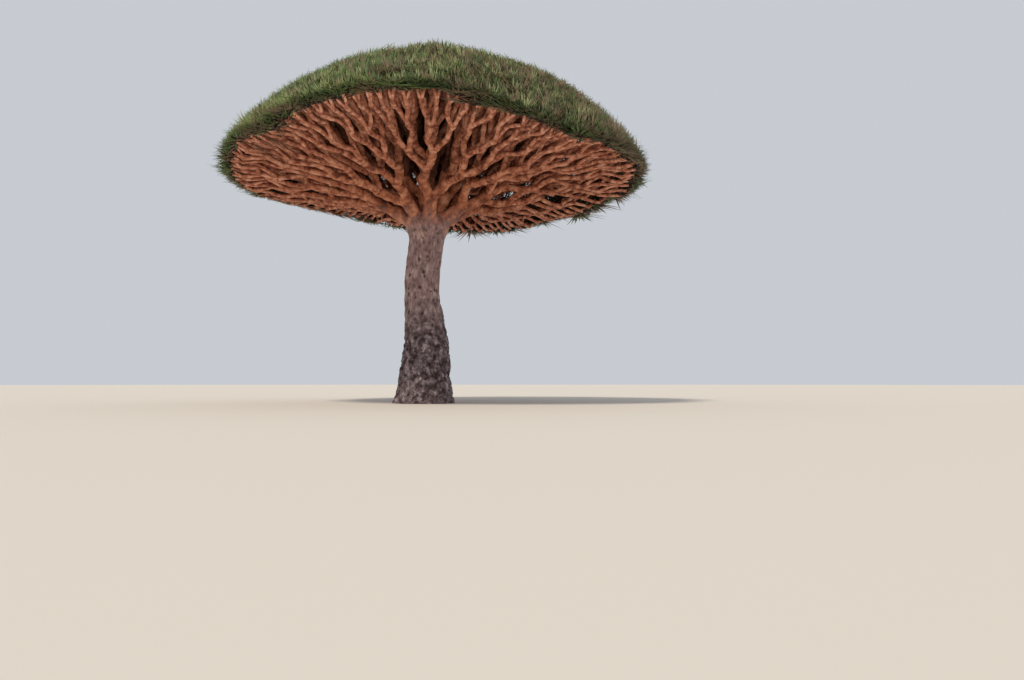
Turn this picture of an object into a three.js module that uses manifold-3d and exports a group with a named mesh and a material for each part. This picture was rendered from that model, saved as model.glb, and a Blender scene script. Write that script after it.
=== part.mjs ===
// Dragon blood tree: a stout trunk, boughs that fork again and again, and a closed dome of foliage.
// Millimetres, Z up. The origin is the middle of the flat cut at ground level, and the front faces -Y.
//
// The crown is laid out on rays from the fork. A place in it has an azimuth, a share of the way
// from the crown's middle (0) to its rim (1), and a share of the way from the fork (0) to the
// leaf tips (1). A cell is a range of azimuths and rim shares, and every limb and every mass of
// foliage keeps to a cell of its own. Each fork parts a cell in two, across its longer side.
import * as THREE from 'three';
import { mergeVertices } from 'three/addons/utils/BufferGeometryUtils.js';
import Module from 'manifold-3d';

const wasm = await Module();
wasm.setup();

const fullTurn = 2 * Math.PI;

// Each use of chance has a salt of its own, and the leaves' go up by one from leaf to leaf.
const salts = { part: 1, turn: 2, area: 3, bow: 4, leafStep: 10, leafSide: 20, leafTurn: 30 };

// Trunk
const forkHeight = 3080;
const forkShift = 40; // the fork stands this far to the right of the foot
const bendShift = -75; // and the trunk sways this far to the left below it
const bendHeight = 2000;
const bendReach = 620;
const hipShift = 25; // and a little to the right lower down
const hipHeight = 950;
const hipReach = 550;
const waistRadius = 298;
const footRadius = 490;
const taperHeight = 1900;
const taperPower = 1.1;
const rootFlare = 55;
const rootFlareReach = 110;
const neckHeight = 300; // the trunk widens to its head over this height
const headRadius = 370;
const headRise = 320;
const fluteDepth = 22;
const fluteCount = 5;
const fluteLean = 900; // a flute turns by a radian over this height
const knobDepth = 16;
const knobTurns = [3, 2];
const knobHeights = [260, 410];
const reliefFade = 1100; // the relief fades upwards over this height
const knobShareAbove = 0.35; // but the knobs keep this much
const trunkSides = 20;
const trunkRings = 12;
const ringCrowding = 1.15; // the rings lie closer together towards the foot
const headRings = 3;
const cutDepth = 60;

// Crown
const crownRadius = 3510;
const crownShift = new THREE.Vector2(42, -89); // from the fork to the middle of the rim
const rightReach = 264; // the right side reaches this much further
const rimHeight = 3668;
const rimTiltSide = 48; // the right rim is this much higher than the middle
const rimTiltFront = 176; // and the front rim this much
const rimWaves = [
  { at: -2.61, width: 0.45, lift: 102 }, // the rim rises at the front left
  { at: -1.72, width: 0.5, lift: 221 }, // and more at the front
  { at: -0.945, width: 0.38, lift: -153 }, // dips at the front right
  { at: 1.06, width: 0.6, lift: -110 }, // and at the back right
  { at: 2.3, width: 0.65, lift: 250 }, // and rises at the back left
];
const rimWavePower = 4;
const crownHeight = 5790;
const domePower = 0.7;
const leftSlump = 0.145; // the dome's left side bulges less
const leftDrop = 120; // and its left shoulder is this much lower
const middleStray = 0.02; // the middle bough leans this little off the crown's axis
const middleShare = 0.24; // the middle cell ends at this share of the way to the rim
const upperShare = 0.6; // the upper boughs' cells end at this one
const upperBoughs = 4;
const lowerBoughs = 7;
const upperTurn = 0.35;
const lowerTurn = -1.83;

// Limbs. The shares are parts of the way from the fork to the leaf tips.
const boughRadius = 106; // of a lower bough
const thinning = 0.2; // a limb's radius goes with its share of the leaves to this power
const taper = 0.95; // from a limb's start to its end
const boughEnd = 0.2;
const limbEnd = 0.31;
const stemEnd = 0.335;
const forkStep = 0.1; // between one fork and the next inside a mass
const tipDepth = 190; // the twigs end this far under the leaf tips
const tipInset = 60; // and this far inside the core's edge at the rim
const upperBoughLift = 52 * Math.PI / 180; // where the boughs leave the trunk's head
const lowerBoughLift = -2 * Math.PI / 180;
const sinkIn = 90; // a bough starts this deep inside the trunk's head and is cut clear of it
const limbBow = 0.05;
const knuckle = 0.1;
const limbSides = 6;
const limbSteps = 3;
const boughSides = 7;
const seatDepth = 0.9; // a limb's line starts this many radii inside the limb that bears it
const seam = 0.3; // the gap between one limb and the next

// Foliage
const twigForks = 3;
const twigSides = 3;
const twigRoot = 0.5; // a side twig's root is this much of its width
const unevenness = 0.07; // how far from half a fork parts its cell
const scatter = 0.16; // how far a fork strays from the middle of its cell
const cellGap = 9; // a mass stays this far inside its cell
const coreTop = 115; // the core of a mass lies between these depths under the leaf tips
const coreFloor = 250;
const coreBump = 20;
const coreWaves = [{ turn: 17, share: 23 }, { turn: 11, share: -31 }];
const coreRows = 3;
const coreColumns = 4;
const middleCoreSides = 14;
const coreRimInset = 130;
const leafWidth = 120;
const leafThickness = 18;
const leafBelt = 0.25; // where along its length a leaf is widest
const leafMargin = 0.15; // the leaf tips stay this far from the edges of the twig's cell
const rimLeafShare = 0.985; // the outermost leaves reach this share of the way to the rim

const fork = new THREE.Vector3(forkShift, 0, forkHeight);

// An even number from 0 to 1 that always comes out the same for the same key and salt.
function chance(key, salt) {
  let n = Math.imul(key, 374761393) + Math.imul(salt, 668265263);
  n = Math.imul(n ^ (n >>> 13), 1274126177);
  return ((n ^ (n >>> 16)) >>> 0) / 4294967296;
}

function mix(from, to, share) {
  return from + (to - from) * share;
}

// Where the ray of this azimuth and rim share reaches the leaf tips.
function leafTip(azimuth, share) {
  const across = Math.cos(azimuth);
  const along = Math.sin(azimuth);
  const reach = crownRadius + crownShift.x * across + crownShift.y * along
    + rightReach * Math.max(0, across) ** 3;
  const rim = rimHeight + (rimTiltSide * across - rimTiltFront * along) * share;
  const power = domePower + leftSlump * Math.sqrt(Math.max(0, -across));
  const rise = (crownHeight - rimHeight) * Math.max(0, 1 - share * share) ** power;
  const drop = leftDrop * 4 * share * (1 - share) * Math.max(0, -across);
  const wave = rimWaves.reduce((sum, { at, width, lift }) => {
    const turn = Math.atan2(Math.sin(azimuth - at), Math.cos(azimuth - at));
    return sum + lift * Math.exp(-((turn / width) ** 2));
  }, 0);
  return new THREE.Vector3(
    fork.x + reach * share * across,
    fork.y + reach * share * along,
    rim + rise - drop + wave * share ** rimWavePower,
  );
}

function crownPlace(azimuth, share, progress) {
  return fork.clone().lerp(leafTip(azimuth, share), progress);
}

// The same place given by its depth in millimetres under the leaf tips.
function underTips(azimuth, share, depth) {
  const tip = leafTip(azimuth, share);
  return tip.clone().lerp(fork, depth / tip.distanceTo(fork));
}

// The azimuth, rim share and progress of a point.
function placeOf(point) {
  const offset = point.clone().sub(fork);
  const azimuth = Math.atan2(offset.y, offset.x);
  const slope = offset.z / Math.max(1e-6, Math.hypot(offset.x, offset.y));
  let low = 0;
  let high = 1.2;
  for (let step = 0; step < 24; step += 1) {
    const share = (low + high) / 2;
    const tip = leafTip(azimuth, share).sub(fork);
    if (tip.z / Math.max(1e-6, Math.hypot(tip.x, tip.y)) > slope) {
      low = share;
    } else {
      high = share;
    }
  }
  const share = (low + high) / 2;
  return { azimuth, share, progress: offset.length() / leafTip(azimuth, share).distanceTo(fork) };
}

function cellMiddle(cell) {
  return {
    azimuth: (cell.from + cell.to) / 2,
    share: Math.sqrt((cell.inner ** 2 + cell.outer ** 2) / 2),
  };
}

// A place in a cell, given by how far across it each way it lies.
function cellSpot(cell, turnShare, areaShare) {
  return {
    azimuth: mix(cell.from, cell.to, turnShare),
    share: Math.sqrt(mix(cell.inner ** 2, cell.outer ** 2, areaShare)),
  };
}

// A fork parts a cell across its longer side, near its middle.
function partCell(cell) {
  const arc = (cell.to - cell.from) * cellMiddle(cell).share;
  const ratio = mix(0.5 - unevenness, 0.5 + unevenness, chance(cell.key, salts.part));
  const first = { ...cell, key: cell.key * 2 };
  const second = { ...cell, key: cell.key * 2 + 1 };
  if (arc > cell.outer - cell.inner) {
    first.to = mix(cell.from, cell.to, ratio);
    second.from = first.to;
  } else {
    first.outer = Math.sqrt(mix(cell.inner ** 2, cell.outer ** 2, ratio));
    second.inner = first.outer;
  }
  return [first, second];
}

function cellArea(cell) {
  return (cell.to - cell.from) * (cell.outer ** 2 - cell.inner ** 2);
}

// The limb that feeds a cell ends near the cell's middle, straying a little.
function cellHeart(cell) {
  if (cell.to - cell.from >= fullTurn) {
    return { azimuth: 0, share: middleStray };
  }
  const turnShare = 0.5 + scatter * (chance(cell.key, salts.turn) - 0.5) * 2;
  const areaShare = 0.5 + scatter * (chance(cell.key, salts.area) - 0.5) * 2;
  return cellSpot(cell, turnShare, areaShare);
}

function cellJoint(cell, progress) {
  const heart = cellHeart(cell);
  return crownPlace(heart.azimuth, heart.share, progress);
}

// The last twigs end inside the core.
function cellTwigTip(cell) {
  const heart = cellHeart(cell);
  const share = Math.min(heart.share, 1 - (coreRimInset + tipInset) / crownRadius);
  return underTips(heart.azimuth, share, tipDepth);
}

function staysInside(points, cell) {
  const middle = cellMiddle(cell).azimuth;
  const halfTurn = (cell.to - cell.from) / 2;
  return points.every((point) => {
    const place = placeOf(point);
    const turn = Math.abs(Math.atan2(Math.sin(place.azimuth - middle), Math.cos(place.azimuth - middle)));
    const margin = cellGap / (crownRadius * Math.max(0.01, place.share * place.progress));
    const sideways = halfTurn >= Math.PI || turn < halfTurn - margin;
    const inward = cell.inner === 0 || place.share > cell.inner + cellGap / crownRadius / place.progress;
    const outward = place.share < cell.outer - (cell.outer < 1 ? cellGap / crownRadius / place.progress : 0);
    return sideways && inward && outward && place.progress < 1.001;
  });
}

// A closed geometry as a solid, and back.
function solidOf(geometry) {
  geometry.deleteAttribute('normal');
  geometry.deleteAttribute('uv');
  const merged = mergeVertices(geometry, 1e-3);
  const vertProperties = new Float32Array(merged.attributes.position.array);
  const triVerts = new Uint32Array(merged.index.array);
  return new wasm.Manifold(new wasm.Mesh({ numProp: 3, vertProperties, triVerts }));
}

function geometryOf(solid) {
  const mesh = solid.getMesh();
  const geometry = new THREE.BufferGeometry();
  geometry.setAttribute('position', new THREE.BufferAttribute(new Float32Array(mesh.vertProperties), 3));
  geometry.setIndex(new THREE.BufferAttribute(new Uint32Array(mesh.triVerts), 1));
  geometry.computeVertexNormals();
  return geometry;
}

// The largest closed skin of a solid: loose scraps are dropped, and a sealed hollow is filled.
function wholeOf(solid) {
  return solid.decompose().reduce((best, part) => (part.volume() > best.volume() ? part : best));
}

// Moves every vertex of a geometry to where the function puts it.
function remap(geometry, place) {
  const position = geometry.attributes.position;
  const vertex = new THREE.Vector3();
  for (let index = 0; index < position.count; index += 1) {
    vertex.fromBufferAttribute(position, index);
    position.setXYZ(index, ...place(vertex).toArray());
  }
  return geometry;
}

// A block that keeps everything past a plane.
function pastPlane(point, normal) {
  const size = 9000;
  const block = new THREE.BoxGeometry(size, size, size);
  block.translate(0, 0, size / 2);
  const turn = new THREE.Quaternion().setFromUnitVectors(new THREE.Vector3(0, 0, 1), normal);
  block.applyQuaternion(turn);
  block.translate(point.x, point.y, point.z);
  return solidOf(block);
}

// A limb's slightly bowed line, and a direction square to it.
function limbLine(limb) {
  const span = limb.end.clone().sub(limb.start);
  const direction = span.clone().normalize();
  const upright = Math.abs(direction.z) > 0.9;
  const side = upright ? new THREE.Vector3(1, 0, 0) : new THREE.Vector3(0, 0, 1);
  const across = side.cross(direction).normalize();
  const bow = across.clone().applyAxisAngle(direction, fullTurn * chance(limb.key, salts.bow));
  const middle = limb.start.clone().add(limb.end).multiplyScalar(0.5);
  middle.addScaledVector(bow, 2 * limbBow * span.length());
  return { line: new THREE.QuadraticBezierCurve3(limb.start, middle, limb.end), across };
}

// The way a limb's end faces.
function limbFacing(limb) {
  return limbLine(limb).line.getTangent(1);
}

function limbDirection(limb) {
  return limb.end.clone().sub(limb.start).normalize();
}

// A limb is a tapering tube of few sides along its line, with a knuckle at its end.
function limbSolid(limb, sides) {
  const { line, across } = limbLine(limb);
  const tube = new THREE.CylinderGeometry(1, 1, 1, sides, limbSteps);
  return solidOf(remap(tube, (vertex) => {
    const progress = vertex.y + 0.5;
    const tangent = line.getTangent(progress);
    const left = new THREE.Vector3().crossVectors(tangent, across).normalize();
    const right = new THREE.Vector3().crossVectors(left, tangent);
    const swell = 1 + knuckle * progress ** 4;
    const radius = mix(limb.startRadius, limb.endRadius, progress) * swell;
    const point = line.getPoint(progress);
    point.addScaledVector(right, radius * vertex.x);
    return point.addScaledVector(left, -radius * vertex.z);
  }));
}

// A tube of few sides through a line of points, each with a radius of its own.
function tubeSolid(line, sides) {
  const last = line.length - 1;
  const rings = [];
  let across = new THREE.Vector3(0.3, 0.5, 0.8);
  for (let index = 0; index <= last; index += 1) {
    const before = line[Math.max(0, index - 1)].point;
    const after = line[Math.min(last, index + 1)].point;
    const along = after.clone().sub(before).normalize();
    across = across.clone().addScaledVector(along, -across.dot(along)).normalize();
    rings.push({ ...line[index], across, over: new THREE.Vector3().crossVectors(across, along) });
  }
  const tube = new THREE.CylinderGeometry(1, 1, 1, sides, last);
  return solidOf(remap(tube, (vertex) => {
    const ring = rings[Math.round((vertex.y + 0.5) * last)];
    const point = ring.point.clone().addScaledVector(ring.across, ring.radius * vertex.x);
    return point.addScaledVector(ring.over, ring.radius * vertex.z);
  }));
}

// The trunk sways, tapers from a flared foot to its waist and widens again to the head that the
// boughs leave. The clearance grows it all round, for cutting the boughs clear of it.
function trunkMiddle(height) {
  const sway = Math.exp(-(((height - bendHeight) / bendReach) ** 2));
  const hip = Math.exp(-(((height - hipHeight) / hipReach) ** 2));
  return forkShift * Math.max(0, height / forkHeight) ** 2 + bendShift * sway + hipShift * hip;
}

function trunkRadius(height) {
  const up = Math.max(0, height);
  const body = waistRadius + (footRadius - waistRadius) * Math.max(0, 1 - up / taperHeight) ** taperPower;
  const neck = THREE.MathUtils.smoothstep(up, forkHeight - neckHeight, forkHeight);
  return body + rootFlare * Math.exp(-up / rootFlareReach) + (headRadius - waistRadius) * neck;
}

function trunkRelief(azimuth, height) {
  const low = Math.exp(-Math.max(0, height) / reliefFade);
  const flutes = fluteDepth * low * Math.sin(fluteCount * azimuth + height / fluteLean);
  const knobs = Math.sin(knobTurns[0] * azimuth + height / knobHeights[0])
    * Math.sin(knobTurns[1] * azimuth - height / knobHeights[1]);
  return flutes + knobDepth * knobs * (knobShareAbove + low);
}

function trunkSolid(clearance) {
  const profile = [new THREE.Vector2(0, -cutDepth)];
  for (let ring = 0; ring <= trunkRings; ring += 1) {
    const height = mix(-cutDepth, forkHeight, (ring / trunkRings) ** ringCrowding);
    profile.push(new THREE.Vector2(trunkRadius(height) + clearance, height));
  }
  for (let ring = 1; ring <= headRings; ring += 1) {
    const lift = Math.PI / 2 * ring / headRings;
    const radius = ring < headRings ? (headRadius + clearance) * Math.cos(lift) : 0;
    profile.push(new THREE.Vector2(radius, forkHeight + (headRise + clearance) * Math.sin(lift)));
  }
  const body = new THREE.LatheGeometry(profile, trunkSides);
  body.rotateX(Math.PI / 2);
  const solid = solidOf(remap(body, (vertex) => {
    const azimuth = Math.atan2(vertex.y, vertex.x);
    const radius = Math.hypot(vertex.x, vertex.y);
    const fade = 1 - THREE.MathUtils.smoothstep(vertex.z, forkHeight - neckHeight, forkHeight);
    const grown = radius > 1 ? radius + fade * trunkRelief(azimuth, vertex.z) : 0;
    const middle = trunkMiddle(Math.min(vertex.z, forkHeight));
    return new THREE.Vector3(middle + grown * Math.cos(azimuth), grown * Math.sin(azimuth), vertex.z);
  }));
  return solid.intersect(pastPlane(new THREE.Vector3(0, 0, 0), new THREE.Vector3(0, 0, 1)));
}

// A leaf is a flat spike of eight faces: a root, a belt where it is widest, and a tip.
function leafSolid(root, tip, turn) {
  const span = tip.clone().sub(root);
  const direction = span.clone().normalize();
  const flat = new THREE.Vector3(Math.cos(turn), Math.sin(turn), 0);
  const across = flat.cross(direction).normalize();
  const through = new THREE.Vector3().crossVectors(direction, across);
  return solidOf(remap(new THREE.OctahedronGeometry(1), (vertex) => {
    const progress = Math.abs(vertex.z) > 0.5 ? (vertex.z + 1) / 2 : leafBelt;
    const point = root.clone().addScaledVector(span, progress);
    point.addScaledVector(across, vertex.x * leafWidth / 2);
    return point.addScaledVector(through, vertex.y * leafThickness / 2);
  }));
}

// The dense layer under the leaf tips, which the leaves of a mass stand out of.
function coreSolid(cell) {
  const whole = cell.to - cell.from >= fullTurn;
  const outer = cell.outer < 1 ? cell.outer - cellGap / crownRadius : 1 - coreRimInset / crownRadius;
  const inner = cell.inner + cellGap / crownRadius;
  const bump = (azimuth, share) => coreBump / coreWaves.length
    * coreWaves.reduce((sum, wave) => sum + Math.sin(azimuth * wave.turn + share * wave.share), 0);
  if (whole) {
    const disc = new THREE.CylinderGeometry(1, 1, 1, middleCoreSides, 1);
    return solidOf(remap(disc, (vertex) => {
      const azimuth = Math.atan2(-vertex.z, vertex.x);
      const share = outer * Math.hypot(vertex.x, vertex.z);
      const depth = mix(coreFloor, coreTop, vertex.y + 0.5) + bump(azimuth, share) * share;
      return underTips(azimuth, share, depth);
    }));
  }
  const block = new THREE.BoxGeometry(1, 1, 1, coreRows, coreColumns, 1);
  return solidOf(remap(block, (vertex) => {
    const share = mix(inner, outer, vertex.x + 0.5);
    const margin = cellGap / (crownRadius * share);
    const azimuth = mix(cell.from + margin, cell.to - margin, vertex.y + 0.5);
    const depth = mix(coreFloor, coreTop, vertex.z + 0.5) + bump(azimuth, share);
    return underTips(azimuth, share, depth);
  }));
}

// Carries a line of twigs on through a cell. At each fork one part of the cell takes the line on,
// and the other starts a line of its own, whose thin root is sunk in the fork.
function growTwigs(pieces, cell, space, line, radius, forks) {
  const last = forks === 0;
  const end = last ? cellTwigTip(cell) : cellJoint(cell, stemEnd + forkStep * (twigForks - forks));
  if (!staysInside([end], space)) {
    if (line.length > 1) {
      pieces.push(tubeSolid(line, twigSides));
    }
    return;
  }
  line.push({ point: end, radius: radius * taper });
  if (last) {
    growLeaves(pieces, cell, space, end);
    pieces.push(tubeSolid(line, twigSides));
    return;
  }
  const [first, second] = partCell(cell);
  const thinned = (part) => radius * taper * (cellArea(part) / cellArea(cell)) ** thinning;
  const branch = [{ point: end, radius: twigRoot * thinned(second) }];
  growTwigs(pieces, first, space, line, thinned(first), forks - 1);
  growTwigs(pieces, second, space, branch, thinned(second), forks - 1);
}

// A twig at the rim bears two leaves, and so does every other twig elsewhere.
function growLeaves(pieces, cell, space, root) {
  const count = cell.outer === 1 ? 2 : 1 + cell.key % 2;
  for (let leaf = 0; leaf < count; leaf += 1) {
    const step = (leaf + 0.5 + 0.5 * (chance(cell.key, salts.leafStep + leaf) - 0.5)) / count;
    const other = mix(leafMargin, 1 - leafMargin, chance(cell.key, salts.leafSide + leaf));
    const spot = leaf % 2 ? cellSpot(cell, step, other) : cellSpot(cell, other, step);
    if (cell.outer === 1 && leaf === 0) {
      spot.share = rimLeafShare;
    }
    const tip = crownPlace(spot.azimuth, spot.share, 0.999);
    if (staysInside([tip], space)) {
      pieces.push(leafSolid(root, tip, fullTurn * chance(cell.key, salts.leafTurn + leaf)));
    }
  }
}

function massSolid(cell, bearer, radius) {
  const facing = limbFacing(bearer);
  const start = bearer.end.clone().addScaledVector(facing, -seatDepth * radius);
  const end = cellJoint(cell, stemEnd);
  const stem = [{ point: start, radius }, { point: end, radius: radius * taper }];
  const [first, second] = partCell(cell);
  const thinned = (part) => radius * taper * (cellArea(part) / cellArea(cell)) ** thinning;
  const branch = [{ point: end, radius: twigRoot * thinned(second) }];
  const pieces = [coreSolid(cell)];
  growTwigs(pieces, first, cell, stem, thinned(first), twigForks - 1);
  growTwigs(pieces, second, cell, branch, thinned(second), twigForks - 1);
  const joined = pieces.reduce((whole, piece) => whole.add(piece));
  const seat = bearer.end.clone().addScaledVector(facing, seam);
  return wholeOf(joined.intersect(pastPlane(seat, facing)));
}

// The materials
function barkMaterial() {
  return new THREE.MeshStandardMaterial({ color: 0x8f7d76, roughness: 0.9, metalness: 0 });
}

function branchMaterial() {
  return new THREE.MeshStandardMaterial({ color: 0xa8664a, roughness: 0.85, metalness: 0 });
}

function foliageMaterial() {
  return new THREE.MeshStandardMaterial({ color: 0x5d7440, roughness: 0.6, metalness: 0 });
}

const tree = new THREE.Group();

function addPiece(name, solid, material) {
  const mesh = new THREE.Mesh(geometryOf(wholeOf(solidOf(geometryOf(solid)))), material);
  mesh.name = name;
  tree.add(mesh);
}

// A bough is as thick as the leaves it feeds ask for, against those of a lower bough.
function boughWidth(cell) {
  const lowerArea = fullTurn * (1 - upperShare ** 2) / lowerBoughs;
  return boughRadius * (cellArea(cell) / lowerArea) ** thinning;
}

// One bough with its two limbs and their masses of foliage.
function addBough(name, cell, lift, cutter) {
  const middle = cellMiddle(cell);
  const leave = new THREE.Vector3(
    Math.cos(middle.azimuth) * Math.cos(lift) * (headRadius - sinkIn),
    Math.sin(middle.azimuth) * Math.cos(lift) * (headRadius - sinkIn),
    Math.sin(lift) * (headRise - sinkIn),
  );
  const bough = {
    key: cell.key,
    start: fork.clone().add(leave),
    end: cellJoint(cell, boughEnd),
    startRadius: boughWidth(cell),
    endRadius: boughWidth(cell) * taper,
  };
  const boughBody = limbSolid(bough, boughSides).subtract(cutter);
  addPiece(`bough_${name}`, boughBody, branchMaterial());

  const facing = limbFacing(bough);
  const seat = bough.end.clone().addScaledVector(facing, seam);
  const limbs = partCell(cell).map((part) => {
    const radius = bough.endRadius * (cellArea(part) / cellArea(cell)) ** thinning;
    return {
      key: part.key,
      cell: part,
      start: bough.end.clone().addScaledVector(facing, -seatDepth * radius),
      end: cellJoint(part, limbEnd),
      startRadius: radius,
      endRadius: radius * taper,
      };
  });
  const apart = limbDirection(limbs[0]).sub(limbDirection(limbs[1])).normalize();
  limbs.forEach((limb, index) => {
    const side = apart.clone().multiplyScalar(index ? -1 : 1);
    const parting = bough.end.clone().addScaledVector(side, seam / 2);
    const body = limbSolid(limb, limbSides)
      .intersect(pastPlane(seat, facing))
      .intersect(pastPlane(parting, side));
    const letter = index ? 'b' : 'a';
    addPiece(`limb_${name}${letter}`, body, branchMaterial());
    addPiece(`foliage_${name}${letter}`, massSolid(limb.cell, limb, limb.endRadius), foliageMaterial());
  });
}

function addMiddleBough(cell, cutter) {
  const bough = {
    key: cell.key,
    start: fork.clone().add(new THREE.Vector3(0, 0, headRise - sinkIn)),
    end: cellJoint(cell, limbEnd),
    startRadius: boughWidth(cell),
    endRadius: boughWidth(cell) * taper,
  };
  addPiece('bough_middle', limbSolid(bough, boughSides).subtract(cutter), branchMaterial());
  addPiece('foliage_middle', massSolid(cell, bough, bough.endRadius), foliageMaterial());
}

function addRing(ring, count, turn, inner, outer, lift, firstKey, cutter) {
  for (let index = 0; index < count; index += 1) {
    const from = turn + fullTurn * index / count;
    const cell = { from, to: from + fullTurn / count, inner, outer, key: firstKey + index };
    addBough(`${ring}_${index + 1}`, cell, lift, cutter);
  }
}

const head = trunkSolid(seam);
addPiece('trunk', trunkSolid(0), barkMaterial());
addMiddleBough({ from: 0, to: fullTurn, inner: 0, outer: middleShare, key: 16 }, head);
addRing('upper', upperBoughs, upperTurn, middleShare, upperShare, upperBoughLift, 17, head);
addRing('lower', lowerBoughs, lowerTurn, upperShare, 1, lowerBoughLift, 17 + upperBoughs, head);

export default tree;
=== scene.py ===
import math

import bmesh
import bpy
import numpy as np
from mathutils import Matrix, Vector, noise


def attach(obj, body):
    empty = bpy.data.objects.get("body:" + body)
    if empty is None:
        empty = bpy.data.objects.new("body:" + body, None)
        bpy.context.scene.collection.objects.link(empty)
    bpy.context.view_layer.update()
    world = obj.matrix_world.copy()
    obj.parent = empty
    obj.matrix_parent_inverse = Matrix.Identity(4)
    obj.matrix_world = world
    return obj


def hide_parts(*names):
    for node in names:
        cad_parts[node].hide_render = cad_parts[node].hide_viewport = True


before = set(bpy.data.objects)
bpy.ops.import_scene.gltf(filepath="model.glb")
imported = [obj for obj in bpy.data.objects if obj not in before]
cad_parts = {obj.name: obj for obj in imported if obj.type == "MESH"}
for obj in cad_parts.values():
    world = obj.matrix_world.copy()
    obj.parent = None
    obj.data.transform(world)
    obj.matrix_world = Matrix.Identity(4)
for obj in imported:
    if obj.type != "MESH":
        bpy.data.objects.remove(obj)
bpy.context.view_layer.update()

noise.seed_set(1)            # without a seed the noise vectors differ from run to run
print("frame loaded:", len(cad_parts), "nodes")

# The crown is laid out on rays from the fork, as in the solids. A place in it has an azimuth, a share
# of the way from the crown's middle (0) to its rim (1), and its progress, a share of the way from the
# fork (0) to the leaf tips (1). Metres throughout, and the front of the tree faces -Y.
fullTurn = 2 * math.pi
goldenAngle = 2.39996        # turned by this again and again, things spread evenly all round
skew = (0.31, 0.52, 0.79)    # a direction that no limb and no tuft has
tiny = 1e-12                 # keeps divisions from zero
forkPoint = np.array((0.04, 0.0, 3.08))

crown = {
    "radius": 3.51,
    "shiftX": 0.042,
    "shiftY": -0.089,
    "rightReach": 0.264,     # it reaches this much farther on the right
    "rightPower": 3,
    "rimHeight": 3.668,
    "tiltSide": 0.048,       # the rim is this much higher on the right
    "tiltFront": 0.176,      # and this much at the front
    "waves": [(-2.61, 0.45, 0.102), (-1.72, 0.5, 0.221), (-0.945, 0.38, -0.153),
              (1.06, 0.6, -0.11), (2.3, 0.65, 0.25)],    # azimuth, half width and lift of each
    "wavePower": 4,
    "height": 5.79,
    "domePower": 0.7,
    "leftSlump": 0.145,      # the dome's left side bulges less
    "leftDrop": 0.12,        # and its left shoulder is this much lower
    "furthest": 1.3,         # a rim share that no leaf reaches
    "halvings": 20,          # steps that find a place's rim share
    "middleStray": 0.02,
    "middleShare": 0.24,     # the middle bough feeds the crown this far out
    "upperShare": 0.6,       # the upper ones this far, and the lower ones the rest
    "upperBoughs": 4,
    "lowerBoughs": 7,
    "upperTurn": 0.35,
    "lowerTurn": -1.83,
    "unevenness": 0.07,
    "scatter": 0.16,
}

limbs = {
    "radius": 0.106,         # of a lower bough
    "thinning": 0.2,         # a limb's radius goes with its share of the leaves to this power
    "taper": 0.95,
    "swell": 1.25,           # a bough starts this much thicker
    "middleSwell": 1.2,      # and the middle one this much
    "boughStart": 0.55,      # how far out in the head a bough starts
    "middleStart": 0.1,      # how far above the fork the middle one does
    "seat": 0.5,             # an arm starts this many radii inside the limb that bears it
    "boughEnd": 0.2,         # where boughs and stems end, from the fork to the leaf tips
    "stemEnd": 0.335,
    "upperEnds": (0.435, 0.535, 0.635, 0.73, 0.825, 0.915),  # and the twigs, fork after fork
    "lowerEnds": (0.435, 0.535, 0.635, 0.735, 0.825, 0.9, 0.955),
    "lastForks": 0.45,       # this share of the lower twigs forks once more
    "allFork": 0.87,         # and from this rim share outwards, all of them
    "twigStray": 0.012,      # the last twigs end this much earlier or later
    "massStray": 0.012,      # and so does each whole mass
    "upturn": 0.03,
    "upperLift": math.radians(52),
    "lowerLift": math.radians(-2),
    "bow": 0.05,
    "boughBow": 0.6,         # the outer boughs' bow, as a share of that
    "bowSkew": (0.3, 0.5, 0.8),
    "forkBow": 0.13,         # the arms of a thick fork part wide and then turn along the rays
    "thickForks": 2,         # the first forks of a mass are thick
    "twigBow": 0.05,
    "twigKink": 0.045,
    "rimFrom": 0.75,         # from this share outwards the crown counts as its rim
    "rimEarly": 0.01,        # the twigs at the rim end earlier, which leaves room for longer tufts
}

# The thick end of the trunk, which bears the boughs
head = {"radius": 0.37, "rise": 0.32, "sinkIn": 0.09}

# A key doubles at each fork, so no two limbs have the same one.
keys = {"middle": 16, "upper": 17, "lower": 21}

salts = {"part": 1, "turn": 2, "area": 3, "bow": 4, "lump": 5, "end": 6, "single": 7,
         "scarHeight": 41, "scarTurn": 42, "scarSize": 43, "skirt": 55, "dry": 61, "heart": 71, "droop": 91}

# Where the hem hangs lower or, once, higher: azimuth, half width, and how much earlier the twigs end.
hemDips = [(-2.33, 0.16, 0.05), (-1.72, 0.2, -0.014), (-1.38, 0.07, 0.035), (-0.5, 0.12, 0.015),
           (0.3, 0.15, 0.03), (1.3, 0.12, 0.02), (2.1, 0.16, 0.035), (2.9, 0.1, 0.025)]
hemShares = (0.85, 0.95)     # they set in between these rim shares

# Open places, where light shows through the far right of the crown: azimuth, share and size of each.
gaps = [(0.5, 0.91, 0.03), (0.64, 0.9, 0.035), (0.8, 0.885, 0.04), (0.96, 0.885, 0.035), (1.08, 0.89, 0.025)]

wordSize = 2 ** 32
hashFactors = (374761393, 668265263, 1274126177)


# An even number from 0 to 1 that always comes out the same for the same key and salt: a 32-bit hash.
def chance(key, salt):
    n = (key * hashFactors[0] + salt * hashFactors[1]) % wordSize
    n = ((n ^ (n >> 13)) * hashFactors[2]) % wordSize
    return (n ^ (n >> 16)) / wordSize


def mix(low, high, share):
    return low + (high - low) * share


def smoothStep(value, low, high):
    t = np.clip((value - low) / (high - low), 0, 1)
    return t * t * (3 - 2 * t)


def unit(vectors):
    return vectors / np.maximum(np.linalg.norm(vectors, axis=-1, keepdims=True), tiny)


# One value of each of some tips or limbs, as an array.
def valuesOf(items, name):
    return np.array([item[name] for item in items])


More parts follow.
